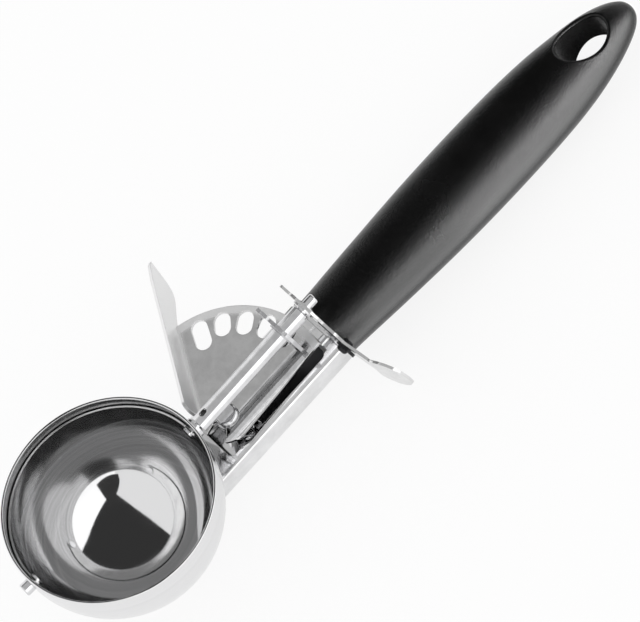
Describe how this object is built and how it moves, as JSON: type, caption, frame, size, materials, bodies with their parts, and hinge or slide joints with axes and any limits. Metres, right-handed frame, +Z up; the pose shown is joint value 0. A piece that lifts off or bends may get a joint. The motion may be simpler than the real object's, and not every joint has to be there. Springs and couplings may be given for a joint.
{
  "type": "lever ice cream scoop",
  "caption": "Hand scoop with a half-round bowl, a scraper band, and a sprung thumb lever whose slotted sector turns the scraper shaft; finger guard and black grip.",
  "frame": {"origin": "centre of the hanging hole, level with the handle's upper surface", "axes": "+Y from the bowl to the handle's tip, +Z up out of the bowl's open side, along the hanging hole"},
  "size_m": [0.0769, 0.2172, 0.0436],
  "materials": {
    "polished_steel": "polished",
    "satin_steel": "satin",
    "spring_steel": "bright drawn",
    "dark_steel": "blackened",
    "black_plastic": "fine satin grain"
  },
  "bodies": {
    "frame": {"bowl": "polished_steel", "far_pivot_pin": "polished_steel", "near_bush": "polished_steel", "bowl_saddle": "satin_steel", "frame_channel": "satin_steel", "tang": "dark_steel", "tang_rivets": "satin_steel", "guard_plate": "satin_steel", "guard_rivet": "dark_steel", "rear_bearing": "polished_steel", "handle": "black_plastic", "pivot_rivet": "satin_steel", "pivot_washer": "satin_steel", "pivot_spacer": "satin_steel", "return_spring": "spring_steel"},
    "lever": {"lever_plate": "satin_steel"},
    "shaft": {"sweep_shaft": "polished_steel", "pinion": "satin_steel"},
    "scraper": {"wiper_band": "satin_steel", "wiper_shank": "satin_steel", "coupling_pin": "satin_steel"}
  },
  "joints": [
    {"name": "thumb_lever", "type": "hinge", "parent": "frame", "child": "lever", "pos_m": [0, -0.1337, 0.0048], "axis": [0, 0, -1], "range_deg": [0, 50], "stiffness_Nm_per_rad": 0.04, "springref_deg": -17.19, "deforming": ["return_spring"]},
    {"name": "shaft_turn", "type": "hinge", "parent": "frame", "child": "shaft", "pos_m": [0, -0.1117, 0.0129], "axis": [0, -1, 0], "range_deg": [0, 157.99]},
    {"name": "scraper_sweep", "type": "hinge", "parent": "frame", "child": "scraper", "pos_m": [0, -0.1371, 0.0129], "axis": [0, -0.9898, 0.1426], "range_deg": [0, 157.99]}
  ],
  "couplings": [
    {"joint": "shaft_turn", "follows": "thumb_lever", "ratio": 3.1579},
    {"joint": "scraper_sweep", "follows": "thumb_lever", "ratio": 3.1579}
  ]
}
